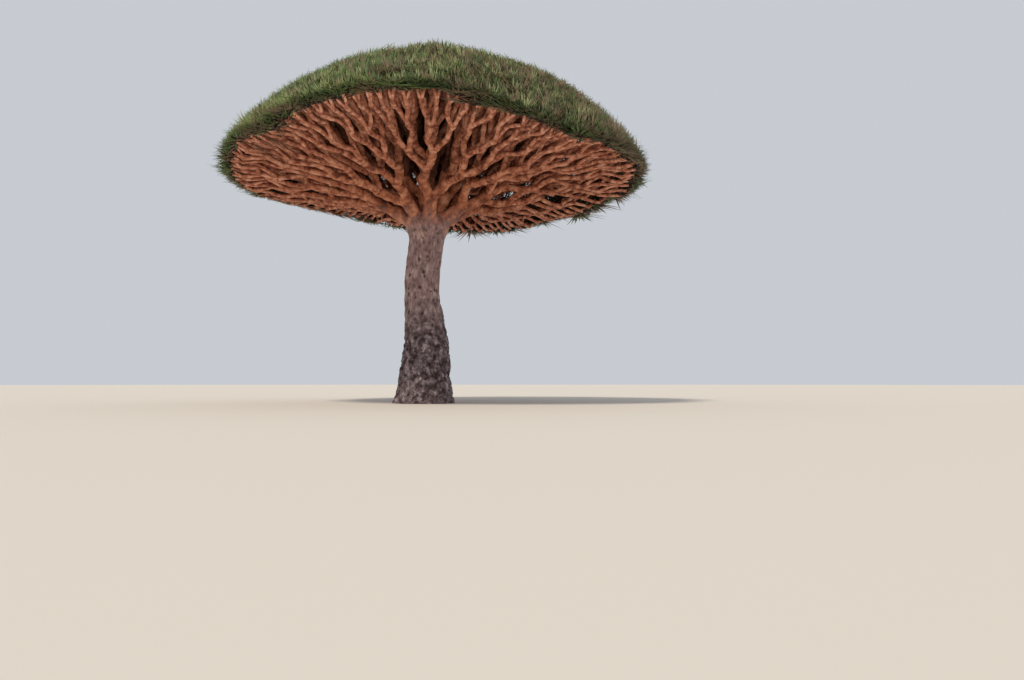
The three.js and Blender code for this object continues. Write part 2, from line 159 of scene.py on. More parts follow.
# How close to an azimuth another one is: 1 there, and less over a half width.
def nearness(azimuth, at, width):
    turn = np.arctan2(np.sin(azimuth - at), np.cos(azimuth - at))
    return np.exp(-(turn / width) ** 2)


# Where the ray of this azimuth and rim share reaches the leaf tips. Takes numbers or arrays.
def leafTip(azimuth, share):
    across = np.cos(azimuth)
    along = np.sin(azimuth)
    reach = crown["radius"] + crown["shiftX"] * across + crown["shiftY"] * along
    reach = reach + crown["rightReach"] * np.maximum(0, across) ** crown["rightPower"]
    rim = crown["rimHeight"] + (crown["tiltSide"] * across - crown["tiltFront"] * along) * share
    power = crown["domePower"] + crown["leftSlump"] * np.sqrt(np.maximum(0, -across))
    rise = (crown["height"] - crown["rimHeight"]) * np.maximum(0, 1 - share * share) ** power
    rise = rise - crown["leftDrop"] * 4 * share * (1 - share) * np.maximum(0, -across)
    wave = sum(lift * nearness(azimuth, at, width) for at, width, lift in crown["waves"])
    wave = wave * share ** crown["wavePower"]
    x = forkPoint[0] + reach * share * across
    y = forkPoint[1] + reach * share * along
    return np.stack(np.broadcast_arrays(x, y, rim + rise + wave), axis=-1)


def crownPlace(azimuth, share, progress):
    return mix(forkPoint, leafTip(azimuth, share), np.asarray(progress)[..., None])


def slopeOf(offset):
    return offset[..., 2] / np.maximum(tiny, np.hypot(offset[..., 0], offset[..., 1]))


# The azimuth, rim share and progress of points. The share is found by halving a range.
def placeOf(points):
    offset = points - forkPoint
    azimuth = np.arctan2(offset[..., 1], offset[..., 0])
    slope = slopeOf(offset)
    low = np.zeros_like(slope)
    high = np.full_like(slope, crown["furthest"])
    for _ in range(crown["halvings"]):
        share = (low + high) / 2
        steeper = slopeOf(leafTip(azimuth, share) - forkPoint) > slope
        low = np.where(steeper, share, low)
        high = np.where(steeper, high, share)
    share = (low + high) / 2
    reach = np.linalg.norm(leafTip(azimuth, share) - forkPoint, axis=-1)
    return azimuth, share, np.linalg.norm(offset, axis=-1) / reach


def middleShare(cell):
    return math.sqrt((cell["inner"] ** 2 + cell["outer"] ** 2) / 2)


# A fork parts a cell across its longer side, near its middle.
def partCell(cell):
    arc = (cell["to"] - cell["from"]) * middleShare(cell)
    ratio = mix(0.5 - crown["unevenness"], 0.5 + crown["unevenness"], chance(cell["key"], salts["part"]))
    first = {**cell, "key": cell["key"] * 2}
    second = {**cell, "key": cell["key"] * 2 + 1}
    if arc > cell["outer"] - cell["inner"]:
        first["to"] = second["from"] = mix(cell["from"], cell["to"], ratio)
    else:
        first["outer"] = second["inner"] = math.sqrt(mix(cell["inner"] ** 2, cell["outer"] ** 2, ratio))
    return first, second


def cellArea(cell):
    return (cell["to"] - cell["from"]) * (cell["outer"] ** 2 - cell["inner"] ** 2)


# The limb that feeds a cell ends near the cell's middle, straying a little.
def cellHeart(cell):
    if cell["to"] - cell["from"] >= fullTurn:
        return 0, crown["middleStray"]
    turnShare = 0.5 + crown["scatter"] * (chance(cell["key"], salts["turn"]) - 0.5) * 2
    areaShare = 0.5 + crown["scatter"] * (chance(cell["key"], salts["area"]) - 0.5) * 2
    share = math.sqrt(mix(cell["inner"] ** 2, cell["outer"] ** 2, areaShare))
    return mix(cell["from"], cell["to"], turnShare), share


def cellJoint(cell, progress):
    azimuth, share = cellHeart(cell)
    return crownPlace(azimuth, share, progress)


# Growing. A limb is a bowed line with a radius at each end, and level counts the forks. The line goes
# half way to its middle point, so that point stands off by twice the bow.
def growLimb(grown, key, level, start, end, radii, bow):
    middle = (start + end) / 2 + 2 * bow
    grown.append({"key": key, "level": level, "line": (start, middle, end), "radii": radii})
    return unit(end - middle)


def strayBow(key, start, end, size):
    span = end - start
    turn = fullTurn * chance(key, salts["bow"])
    side = np.cross(span, limbs["bowSkew"])
    over = np.cross(unit(span), side)
    stray = math.cos(turn) * unit(side) + math.sin(turn) * unit(over)
    return stray * size * np.linalg.norm(span)


# The arms of a fork start wide apart and bend round towards the ray that they grow along.
def forkBow(key, start, end, opening):
    ray = unit(start - forkPoint)
    span = end - start
    sideways = span - np.dot(span, ray) * ray
    return sideways * opening + strayBow(key, start, end, limbs["twigKink"])


def isOpen(azimuth, share):
    return any(math.hypot((azimuth - at) * share, share - out) < size for at, out, size in gaps)


# How far out in the rim a share is, from 0 to 1.
def rimward(share):
    return smoothStep(share, limbs["rimFrom"], 1)


def hemDip(azimuth, share):
    dip = sum(depth * nearness(azimuth, at, width) for at, width, depth in hemDips)
    return float(dip * smoothStep(share, *hemShares))


# From a mass's stem to its last twigs. Only the lower masses get as far as the fork that some skip.
def growTwigs(grown, tips, cell, ends, level, start, facing, radius, mass):
    last = level == len(ends) - 1
    progress = ends[level]
    opening = limbs["forkBow"] if level < limbs["thickForks"] else limbs["twigBow"]
    single = level == len(limbs["lowerEnds"]) - 1 and middleShare(cell) < limbs["allFork"]
    single = single and chance(cell["key"], salts["single"]) > limbs["lastForks"]
    for part in [{**cell, "key": cell["key"] * 2}] if single else partCell(cell):
        partRadius = radius * (cellArea(part) / cellArea(cell)) ** limbs["thinning"]
        if last:
            azimuth, share = cellHeart(part)
            if isOpen(azimuth, share):
                continue
            stray = limbs["twigStray"] * (2 * chance(part["key"], salts["end"]) - 1)
            stray += limbs["massStray"] * (2 * chance(mass, salts["end"]) - 1)
            stray -= limbs["rimEarly"] * float(rimward(share)) + hemDip(azimuth, share)
            end = crownPlace(azimuth, share, progress + stray) + np.array((0, 0, limbs["upturn"]))
        else:
            end = cellJoint(part, progress)
        seat = start - facing * limbs["seat"] * partRadius
        bow = forkBow(part["key"], seat, end, opening)
        tipRadius = partRadius * limbs["taper"]
        onward = growLimb(grown, part["key"], level + 1, seat, end, (partRadius, tipRadius), bow)
        if last:
            tips.append({
                "key": part["key"],
                "mass": mass,
                "point": end,
                "facing": onward,
                "share": share,
                "azimuth": azimuth,
            })
        else:
            growTwigs(grown, tips, part, ends, level + 1, end, onward, tipRadius, mass)


def boughWidth(cell):
    lowerArea = fullTurn * (1 - crown["upperShare"] ** 2) / crown["lowerBoughs"]
    return limbs["radius"] * (cellArea(cell) / lowerArea) ** limbs["thinning"]


def growBough(grown, tips, cell, lift, ends):
    azimuth = (cell["from"] + cell["to"]) / 2
    sunk = head["radius"] - head["sinkIn"]
    out = np.array((
        math.cos(azimuth) * math.cos(lift) * sunk,
        math.sin(azimuth) * math.cos(lift) * sunk,
        math.sin(lift) * (head["rise"] - head["sinkIn"]),
    ))
    width = boughWidth(cell)
    start = forkPoint + out * limbs["boughStart"]
    end = cellJoint(cell, limbs["boughEnd"])
    bow = strayBow(cell["key"], start, end, limbs["bow"] * limbs["boughBow"])
    radii = (width * limbs["swell"], width * limbs["taper"])
    facing = growLimb(grown, cell["key"], 0, start, end, radii, bow)
    for part in partCell(cell):
        radius = width * limbs["taper"] * (cellArea(part) / cellArea(cell)) ** limbs["thinning"]
        seat = end - facing * limbs["seat"] * radius
        tip = cellJoint(part, limbs["stemEnd"])
        bow = forkBow(part["key"], seat, tip, limbs["forkBow"])
        stemRadius = radius * limbs["taper"] ** 2
        onward = growLimb(grown, part["key"], 0, seat, tip, (radius, stemRadius), bow)
        growTwigs(grown, tips, part, ends, 0, tip, onward, stemRadius, part["key"])


def growMiddle(grown, tips):
    key = keys["middle"]
    cell = {"from": 0, "to": fullTurn, "inner": 0, "outer": crown["middleShare"], "key": key}
    start = forkPoint + np.array((0, 0, limbs["middleStart"]))
    end = cellJoint(cell, limbs["stemEnd"])
    width = boughWidth(cell)
    stemRadius = width * limbs["taper"] ** 2
    bow = strayBow(key, start, end, limbs["bow"])
    facing = growLimb(grown, key, 0, start, end, (width * limbs["middleSwell"], stemRadius), bow)
    growTwigs(grown, tips, cell, limbs["upperEnds"], 0, end, facing, stemRadius, key)


def growTree():
    grown = []
    tips = []
    growMiddle(grown, tips)
    rings = {"upper": (crown["middleShare"], crown["upperShare"]), "lower": (crown["upperShare"], 1)}
    for ring, (inner, outer) in rings.items():
        boughs = crown[ring + "Boughs"]
        for index in range(boughs):
            turn = crown[ring + "Turn"] + fullTurn * index / boughs
            cell = {"from": turn, "to": turn + fullTurn / boughs,
                    "inner": inner, "outer": outer, "key": keys[ring] + index}
            growBough(grown, tips, cell, limbs[ring + "Lift"], limbs[ring + "Ends"])
    return grown, tips


grown, tips = growTree()
print("grown:", len(grown), "limbs and twigs,", len(tips), "twig tips")


# Materials. Hex colours are turned to linear ones by the usual curve.
def linearColour(code):
    channels = [int(code[place:place + 2], 16) / 255 for place in (1, 3, 5)]
    return [c / 12.92 if c <= 0.04045 else ((c + 0.055) / 1.055) ** 2.4 for c in channels] + [1]


def newMaterial(name):
    material = bpy.data.materials.new(name)
    material.use_nodes = True
    material.node_tree.nodes.clear()
    return material, material.node_tree


# Adds a node with its settings. An input given as a socket is linked, and any other is set.
def addNode(tree, kind, inputs=None, **settings):
    node = tree.nodes.new(kind)
    for name, value in settings.items():
        setattr(node, name, value)
    for name, value in (inputs or {}).items():
        if isinstance(value, bpy.types.NodeSocket):
            tree.links.new(value, node.inputs[name])
        else:
            node.inputs[name].default_value = value
    return node


def setRamp(node, stops):
    ramp = node.color_ramp
    while len(ramp.elements) < len(stops):
        ramp.elements.new(0.5)
    for element, (place, code) in zip(ramp.elements, stops):
        element.position = place
        element.color = linearColour(code)
    return node


# Ends a material with its shader, over a bump with a height, a strength and a depth. Bark and leaf
# cuticle both have a refractive index near 1.45.
def finishSurface(tree, colour, roughness, specular, relief):
    height, strength, depth = relief
    bump = addNode(tree, "ShaderNodeBump", {"Height": height, "Strength": strength, "Distance": depth})
    shader = addNode(tree, "ShaderNodeBsdfPrincipled", {
        "Base Color": colour, "Roughness": roughness, "IOR": 1.45,
        "Specular IOR Level": specular, "Normal": bump.outputs["Normal"]})
    addNode(tree, "ShaderNodeOutputMaterial", {"Surface": shader.outputs["BSDF"]})


# Bark of the trunk and boughs: dry cork over fibrous wood, weathered grey-pink on the trunk and
# terracotta where the boughs begin. It scatters light evenly, with no shine.
barkLook = {
    "low": [(0.38, "#352b2b"), (0.47, "#665656"), (0.54, "#85757a"), (0.64, "#bcacaa")],
    "high": [(0.38, "#685451"), (0.47, "#967a77"), (0.54, "#a88c89"), (0.62, "#cab2ad")],
    "bough": [(0.36, "#6f3f2e"), (0.5, "#ad694c"), (0.64, "#d19576")],
    "pale": (0.95, 2.1),     # the trunk's bark turns smoother and paler between these heights
    "turn": (2.85, 3.35),    # and its colour turns to the boughs' between these
    "patch": 0.16,           # size of the patches
    "mottle": 0.11,          # and of the finer mottling low on the trunk
    "streak": 0.04,          # width of the streaks, which run up it
    "streakStretch": 0.35,
    "streaky": 0.6,          # share of streaks in the upper trunk's colour
    "grain": 0.012,          # the cork's grain, coarser than life so that it shows
    # the colour of the scars, also used for the painted shade in cracks, furrows and hollows
    "scarAndShade": "#33251f",
}


def makeBark():
    material, tree = newMaterial("weatheredCorkBark")
    place = addNode(tree, "ShaderNodeTexCoord").outputs["Object"]
    patches = addNode(tree, "ShaderNodeTexNoise", {
        "Vector": place, "Scale": 1 / barkLook["patch"], "Detail": 6, "Roughness": 0.62})
    grain = addNode(tree, "ShaderNodeTexNoise", {
        "Vector": place, "Scale": 1 / barkLook["grain"], "Detail": 3})
    mottles = addNode(tree, "ShaderNodeTexNoise", {
        "Vector": place, "Scale": 1 / barkLook["mottle"], "Detail": 5, "Roughness": 0.7})
    upward = addNode(tree, "ShaderNodeMapping", {
        "Vector": place, "Scale": (1, 1, barkLook["streakStretch"])}).outputs["Vector"]
    streaks = addNode(tree, "ShaderNodeTexNoise", {
        "Vector": upward, "Scale": 1 / barkLook["streak"], "Detail": 5, "Roughness": 0.65})
    mingled = addNode(tree, "ShaderNodeMix", {
        "Factor": barkLook["streaky"], 2: patches.outputs["Fac"], 3: streaks.outputs["Fac"]})
    low, high, bough = (
        setRamp(addNode(tree, "ShaderNodeValToRGB", {"Fac": pattern}), barkLook[name]).outputs["Color"]
        for name, pattern in (("low", mottles.outputs["Fac"]), ("high", mingled.outputs[0]),
                              ("bough", patches.outputs["Fac"])))
    apart = addNode(tree, "ShaderNodeSeparateXYZ", {"Vector": place})
    climb = addNode(tree, "ShaderNodeMath", {
        0: apart.outputs["Z"], 1: patches.outputs["Fac"]}, operation="ADD")
    middle = 0.5             # of the noise that makes the heights uneven
    pale, turn = (
        addNode(tree, "ShaderNodeMapRange", {
            "Value": climb.outputs["Value"], "From Min": start + middle, "From Max": end + middle,
        }, interpolation_type="SMOOTHSTEP").outputs["Result"]
        for start, end in (barkLook["pale"], barkLook["turn"]))
    # this attribute carries the scars' own dark colour and the painted shade in cracks, furrows and hollows
    scarAndShade = addNode(tree, "ShaderNodeAttribute", attribute_name="scarAndShade").outputs["Fac"]
    colour = low
    for factor, over in ((pale, high), (turn, bough), (scarAndShade, linearColour(barkLook["scarAndShade"]))):
        colour = addNode(tree, "ShaderNodeMix", {
            "Factor": factor, 6: colour, 7: over}, data_type="RGBA").outputs[2]
    finishSurface(tree, colour, 0.88, 0.3, (grain.outputs["Fac"], 0.5, 0.006))
    return material


# Bark of the younger boughs and twigs: thin, smooth and terracotta, paler and pinker where newer, and darker
# with painted shade inside the crown.
twigLook = {
    "old": [(0.36, "#6b3b2b"), (0.5, "#b06a4d"), (0.64, "#d29575")],
    "new": [(0.36, "#925644"), (0.5, "#cb866b"), (0.64, "#e8b198")],
    "inner": "#58382c",      # painted shade, which darkens the limbs inside the crown
    "patch": 0.09,
    "grain": 0.01,           # coarser than life, as the trunk's
}


def makeTwigBark():
    material, tree = newMaterial("terracottaTwigBark")
    place = addNode(tree, "ShaderNodeTexCoord").outputs["Object"]
    patches = addNode(tree, "ShaderNodeTexNoise", {
        "Vector": place, "Scale": 1 / twigLook["patch"], "Detail": 4, "Roughness": 0.6})
    grain = addNode(tree, "ShaderNodeTexNoise", {
        "Vector": place, "Scale": 1 / twigLook["grain"], "Detail": 2})
    colour, new = (
        setRamp(addNode(tree, "ShaderNodeValToRGB", {"Fac": patches.outputs["Fac"]}), stops).outputs["Color"]
        for stops in (twigLook["old"], twigLook["new"]))
    # youth makes newer twigs paler and pinker, and depth mixes in the painted shade inside the crown
    for name, over in (("youth", new), ("depth", linearColour(twigLook["inner"]))):
        share = addNode(tree, "ShaderNodeAttribute", attribute_name=name)
        colour = addNode(tree, "ShaderNodeMix", {
            "Factor": share.outputs["Fac"], 6: colour, 7: over}, data_type="RGBA").outputs[2]
    finishSurface(tree, colour, 0.82, 0.3, (grain.outputs["Fac"], 0.4, 0.004))
    return material


# Leaf skin: a thick waxy cuticle with fine ribs, which gives a soft broken shine. The real ribs are too
# fine to show, so coarser unevenness stands for them. The colours that have a place on the tree are
# dealt out by spray, so each is a plain one.
leafLook = {
    "rib": 0.02,
    "roughSpare": 0.1,
    "skin": 0.5,             # roughness of a fresh blade, and of the sheath at its root
    "sheath": 0.75,
    "drySkin": 0.8,
    "drySheath": 0.85,
}


def makeLeafSkin(name, code, roughness):
    material, tree = newMaterial(name)
    place = addNode(tree, "ShaderNodeTexCoord").outputs["Object"]
    ribs = addNode(tree, "ShaderNodeTexNoise", {"Vector": place, "Scale": 1 / leafLook["rib"], "Detail": 2})
    wax = addNode(tree, "ShaderNodeMapRange", {
        "Value": ribs.outputs["Fac"],
        "To Min": roughness - leafLook["roughSpare"],
        "To Max": roughness + leafLook["roughSpare"]})
    finishSurface(tree, linearColour(code), wax.outputs["Result"], 0.35, (ribs.outputs["Fac"], 0.25, 0.003))
    return material


# Trunk and boughs: tubes joined by a voxel remesh, eased, and given the bark's relief
trunk = {
    "bendShift": -0.075,     # it sways to the left under the fork
    "bendHeight": 2.0,
    "bendReach": 0.62,
    "hipShift": 0.025,       # and a little to the right lower down
    "hipHeight": 0.95,
    "hipReach": 0.55,
    "waist": 0.298,
    "foot": 0.49,
    "taperHeight": 1.9,
    "taperPower": 1.1,
    "rootFlare": 0.055,
    "rootFlareReach": 0.11,
    "neck": 0.3,             # it widens to the head over this height
    "fluteDepth": 0.022,
    "fluteCount": 5,
    "fluteLean": 0.9,
    "knobDepth": 0.016,
    "knobRound": (3, 2),     # two waves round and up the trunk make the knobs
    "knobHeight": (0.26, 0.41),
    "knobsAbove": 0.35,      # share of their depth that stays high on the trunk
    "reliefFade": 1.1,
    "below": 0.08,           # it starts this far under the cut at ground level
    "rings": 90,
    "sides": 64,
    "headRings": 6,          # of the dome that closes the head
    "headTop": 0.4,          # it stops this share of a ring before its pole
    "boughRings": 9,
    "boughSides": 14,
    "boughKnuckle": 0.1,     # a limb swells by this share at its fork
    "knucklePower": 4,
    "voxel": 0.0155,
    "easing": 5,
    "easeFactor": 0.5,
}


def trunkMiddle(height):
    sway = math.exp(-((height - trunk["bendHeight"]) / trunk["bendReach"]) ** 2)
    hip = math.exp(-((height - trunk["hipHeight"]) / trunk["hipReach"]) ** 2)
    lean = forkPoint[0] * max(0, height / forkPoint[2]) ** 2
    return lean + trunk["bendShift"] * sway + trunk["hipShift"] * hip


# How far a height has come up the neck, from the trunk (0) to the fork (1).
def neckShare(height):
    return float(smoothStep(height, forkPoint[2] - trunk["neck"], forkPoint[2]))


def trunkRadius(height):
    up = max(0, height)
    spread = max(0, 1 - up / trunk["taperHeight"]) ** trunk["taperPower"]
    body = trunk["waist"] + (trunk["foot"] - trunk["waist"]) * spread
    flare = trunk["rootFlare"] * math.exp(-up / trunk["rootFlareReach"])
    return body + flare + (head["radius"] - trunk["waist"]) * neckShare(up)


def trunkRelief(azimuth, height):
    low = math.exp(-max(0, height) / trunk["reliefFade"])
    flutes = trunk["fluteDepth"] * low * math.sin(trunk["fluteCount"] * azimuth + height / trunk["fluteLean"])
    one, other = trunk["knobRound"]
    oneHeight, otherHeight = trunk["knobHeight"]
    knobs = math.sin(one * azimuth + height / oneHeight) * math.sin(other * azimuth - height / otherHeight)
    return flutes + trunk["knobDepth"] * knobs * (trunk["knobsAbove"] + low)


# Where a mark on the trunk's surface is.
def onTrunkAt(azimuth, height):
    radius = trunkRadius(height) + trunkRelief(azimuth, height)
    return trunkMiddle(height) + radius * math.cos(azimuth), radius * math.sin(azimuth), height


# A closed tube through a list of points with a radius at each, by extruding a circle ring to ring.
def addTube(bm, points, radii, sides):
    rings = []
    across = Vector(skew)
    for index, (point, radius) in enumerate(zip(points, radii)):
        before = points[max(0, index - 1)]
        after = points[min(len(points) - 1, index + 1)]
        along = (Vector(after) - Vector(before)).normalized()
        across = (across - along * across.dot(along)).normalized()
        turn = Matrix((across, along.cross(across), along)).transposed().to_4x4()
        rings.append(Matrix.Translation(point) @ turn @ Matrix.Diagonal((radius, radius, radius, 1)))
    made = bmesh.ops.create_circle(bm, segments=sides, radius=1, cap_ends=True, matrix=rings[0])
    verts = made["verts"]
    edges = list(dict.fromkeys(edge for vert in verts for edge in vert.link_edges))
    for before, after in zip(rings, rings[1:]):
        made = bmesh.ops.extrude_edge_only(bm, edges=edges)["geom"]
        verts = [item for item in made if isinstance(item, bmesh.types.BMVert)]
        fresh = set(verts)
        edges = [item for item in made if isinstance(item, bmesh.types.BMEdge)
                 and item.verts[0] in fresh and item.verts[1] in fresh]
        bmesh.ops.transform(bm, matrix=after @ before.inverted(), verts=verts)
    bmesh.ops.holes_fill(bm, edges=edges, sides=0)


def limbPoints(limb, steps):
    start, middle, end = limb["line"]
    t = np.linspace(0, 1, steps + 1)[:, None]
    points = (1 - t) ** 2 * start + 2 * t * (1 - t) * middle + t * t * end
    return points, t[:, 0]


def trunkTube():
    heights = np.linspace(-trunk["below"], forkPoint[2], trunk["rings"])
    points = [(trunkMiddle(height), 0, height) for height in heights]
    radii = [trunkRadius(height) for height in heights]
    for ring in range(1, trunk["headRings"] + 1):
        lift = math.pi / 2 * ring / (trunk["headRings"] + trunk["headTop"])
        points.append((forkPoint[0], 0, forkPoint[2] + head["rise"] * math.sin(lift)))
        radii.append(head["radius"] * math.cos(lift))
    return points, radii


# The trunk and the limbs of level 0, as closed tubes that run into each other.
def makeTubes():
    bm = bmesh.new()
    addTube(bm, *trunkTube(), trunk["sides"])
    for vert in bm.verts:
        middle = trunkMiddle(min(vert.co.z, forkPoint[2]))
        azimuth = math.atan2(vert.co.y, vert.co.x - middle)
        grow = (1 - neckShare(vert.co.z)) * trunkRelief(azimuth, vert.co.z)
        vert.co.x += grow * math.cos(azimuth)
        vert.co.y += grow * math.sin(azimuth)
    for limb in grown:
        if limb["level"] > 0:
            continue
        points, t = limbPoints(limb, trunk["boughRings"])
        radii = mix(*limb["radii"], t) * (1 + trunk["boughKnuckle"] * t ** trunk["knucklePower"])
        addTube(bm, [tuple(point) for point in points], list(radii), trunk["boughSides"])
    bmesh.ops.recalc_face_normals(bm, faces=bm.faces)
    mesh = bpy.data.meshes.new("trunkAndBoughs")
    bm.to_mesh(mesh)
    bm.free()
    return mesh


def makeTrunk(material):
    blank = addObject("trunkAndBoughs", makeTubes())
    remesh = blank.modifiers.new("join", "REMESH")
    remesh.mode = "VOXEL"
    remesh.voxel_size = trunk["voxel"]
    joined = bpy.data.meshes.new_from_object(blank.evaluated_get(bpy.context.evaluated_depsgraph_get()))
    blank.modifiers.clear()
    blank.data = joined
    print("trunk and boughs joined:", len(joined.polygons), "faces")
    bm = bmesh.new()
    bm.from_mesh(joined)
    for _ in range(trunk["easing"]):
        bmesh.ops.smooth_vert(
            bm, verts=bm.verts, factor=trunk["easeFactor"],
            use_axis_x=True, use_axis_y=True, use_axis_z=True)
    addRelief(bm)
    cut = bmesh.ops.bisect_plane(
        bm, geom=bm.verts[:] + bm.edges[:] + bm.faces[:],
        plane_co=(0, 0, 0), plane_no=(0, 0, 1), clear_inner=True)
    rim = [item for item in cut["geom_cut"] if isinstance(item, bmesh.types.BMEdge)]
    bmesh.ops.holes_fill(bm, edges=rim, sides=0)
    for face in bm.faces:
        face.smooth = True
    bm.to_mesh(joined)
    bm.free()
    joined.materials.append(material)
    return blank


bark = {
    "lowFade": (0.7, 2.3),   # burls, furrows and cracks fade out between these heights
    "scarFade": (2.7, 3.2),  # and scars between these
    "least": 0.01,           # what has faded to less than this is left out
    "lump": 0.14,            # size of the swellings
    "lumpFine": (0.42, 0.5), # size and height of finer ones, as shares of theirs
    "lumpHeight": 0.017,
    "lumpTimes": (0.75, 1.3),    # that is multiplied by these, high and low on the trunk
    "burl": 0.18,            # size of the burls low on the trunk, parted by furrows
    "burlStretch": 0.5,      # they are longer upwards
    "burlRise": 0.02,
    "wander": 0.05,          # how far the furrows wander
    "wanderSize": 0.2,
    "furrow": 0.16,          # a furrow's width, as a share of a burl
    "furrowDepth": 0.024,
    # painted shade in the furrows, up to this much
    "furrowDark": 0.8,
    "furrowPatch": 0.3,      # the painted shade is darker and lighter in patches of this size
    # painted shade in the hollows, up to this much
    "hollowDark": 0.75,
    "hollowPower": 1.5,
    "crack": 0.035,          # width of the fine cracks, which run up the lower trunk
    "crackStretch": 0.32,
    "crackFine": (2.1, 0.4), # finer cracks among them: how much finer, and how much weaker
    "crackFrom": 0.72,       # where the pattern is over this there is a crack
    "crackDepth": 0.012,
    # the cracks are also darkened with painted shade
    "crackDarkFrom": 0.78,
    "crackDark": 0.4,
    "scars": 120,
    "scarHeights": (0.35, 3.0),
    "scarSize": 0.018,
    "scarTimes": (0.7, 1.5), # from the smallest to the largest
    "scarWeights": (1, 1, 0.6),  # they are longer upwards
    "scarDepth": 0.014,
    "scarDark": 1.3,
    "darkest": 0.9,
}

# Hollows between the burls, sunk and darkened with painted shade: azimuth, height, size and depth. The last
# four are round the back.
hollows = [(-0.93, 1.26, 0.1, 0.038), (-0.62, 0.7, 0.12, 0.042), (-1.2, 0.28, 0.09, 0.03),
           (-0.8, 1.75, 0.05, 0.024), (-1.55, 1.4, 0.045, 0.02), (-2.05, 1.42, 0.05, 0.02),
           (-2.4, 0.93, 0.07, 0.022), (-1.25, 0.98, 0.05, 0.02),
           (0.6, 0.9, 0.09, 0.03), (1.5, 0.5, 0.1, 0.034), (2.3, 1.1, 0.08, 0.028), (2.9, 0.4, 0.09, 0.03)]


# Scars are small round pits where old leaves and boughs fell, scattered by the golden angle.
def scarPlaces():
    places = []
    for index in range(bark["scars"]):
        height = mix(*bark["scarHeights"], chance(index, salts["scarHeight"]))
        azimuth = index * goldenAngle + chance(index, salts["scarTurn"])
        times = mix(*bark["scarTimes"], chance(index, salts["scarSize"]) ** 2)
        places.append((*onTrunkAt(azimuth, height), bark["scarSize"] * times))
    return np.array(places)


# The share by which a value is past an edge, on its way to 1.
def beyond(value, edge):
    return max(0, value - edge) / (1 - edge)


def addRelief(bm):
    bm.normal_update()
    scars = scarPlaces()
    pits = np.array([(*onTrunkAt(azimuth, height), size, depth) for azimuth, height, size, depth in hollows])
    lumpFine, lumpLow = bark["lumpFine"]
    crackFine, crackWeak = bark["crackFine"]
    # this layer holds the scars' own dark colour and the painted shade in cracks, furrows and hollows
    layer = bm.verts.layers.float.new("scarAndShade")
    for vert in bm.verts:
        point = vert.co
        low = 1 - float(smoothStep(point.z, *bark["lowFade"]))
        onTrunk = 1 - float(smoothStep(point.z, *bark["scarFade"]))
        lump = noise.noise(point / bark["lump"]) + lumpLow * noise.noise(point / (bark["lump"] * lumpFine))
        rise = bark["lumpHeight"] * lump * mix(*bark["lumpTimes"], low)
        stretched = Vector((point.x, point.y, point.z * bark["crackStretch"])) / bark["crack"]
        ridge = 1 - abs(noise.noise(stretched) + crackWeak * noise.noise(stretched * crackFine))
        rise -= bark["crackDepth"] * low * beyond(ridge, bark["crackFrom"])
        # painted shade in the cracks
        dark = bark["crackDark"] * low * beyond(ridge, bark["crackDarkFrom"])
        if low > bark["least"]:
            shaken = point + bark["wander"] * noise.noise_vector(point / bark["wanderSize"])
            shaken.z *= bark["burlStretch"]
            near = noise.voronoi(shaken / bark["burl"])[0]
            furrow = 1 - float(smoothStep(near[1] - near[0], 0, bark["furrow"]))
            rise += low * (bark["burlRise"] * (0.5 - near[0]) - bark["furrowDepth"] * furrow)
            patch = 0.5 + 0.5 * noise.noise(point / bark["furrowPatch"])
            # painted shade in the furrows
            dark = max(dark, bark["furrowDark"] * low * furrow * patch)
            deep = np.exp(-((pits[:, :3] - point) ** 2).sum(1) / pits[:, 3] ** 2)
            rise -= float((pits[:, 4] * deep).sum())
            # painted shade in the hollows
            dark = max(dark, bark["hollowDark"] * float(deep.max()) ** bark["hollowPower"])
        if onTrunk > bark["least"]:
            apart = np.sqrt(((scars[:, :3] - point) ** 2 * bark["scarWeights"]).sum(1)) / scars[:, 3]
            pit = math.exp(-float(apart.min()) ** 2)
            rise -= bark["scarDepth"] * pit * onTrunk
            dark = max(dark, min(bark["darkest"], bark["scarDark"] * pit) * onTrunk)
        vert.co = point + vert.normal * rise
        vert[layer] = dark


# Twigs: tubes with a knuckle at each fork, joined into a few pieces from arrays
twigs = {
    "sides": (10, 9, 8, 7, 6, 6, 5),   # from the first fork in a mass to the last
    "rings": (9, 8, 7, 6, 5, 4, 3),
    "ringKeys": 16,          # keys for each tube's rings, more than it has
    "knuckle": 0.2,
    "knucklePower": 4,
    "lumpiness": 0.17,
    "stoutFrom": 6,          # twigs of this level and on
    "stoutTips": 0.15,       # are this much thicker than the rule makes them
    "innerShade": 0.7,            # how dark the painted shade makes the limbs inside the crown
    "innerShadeShares": (0.5, 0.8),   # and over which rim shares that fades out
}


# A mesh from vertices and lists of faces, each list with faces of one size.
def meshFromArrays(name, vertices, faceLists, slots=None):
    mesh = bpy.data.meshes.new(name)
    corners = np.concatenate([faces.ravel() for faces in faceLists])
    sizes = np.concatenate([np.full(len(faces), faces.shape[1]) for faces in faceLists])
    mesh.vertices.add(len(vertices))
    mesh.vertices.foreach_set("co", vertices.astype(np.float32).ravel())
    mesh.loops.add(len(corners))
    mesh.loops.foreach_set("vertex_index", corners.astype(np.int32))
    mesh.polygons.add(len(sizes))
    mesh.polygons.foreach_set("loop_start", np.concatenate(([0], np.cumsum(sizes)[:-1])).astype(np.int32))
    if slots is not None:
        mesh.polygons.foreach_set("material_index", slots.astype(np.int32))
    mesh.update(calc_edges=True)
    mesh.validate()
    return mesh


def addObject(name, data, *materials):
    for material in materials:
        data.materials.append(material)
    made = bpy.data.objects.new(name, data)
    bpy.context.scene.collection.objects.link(made)
    return made


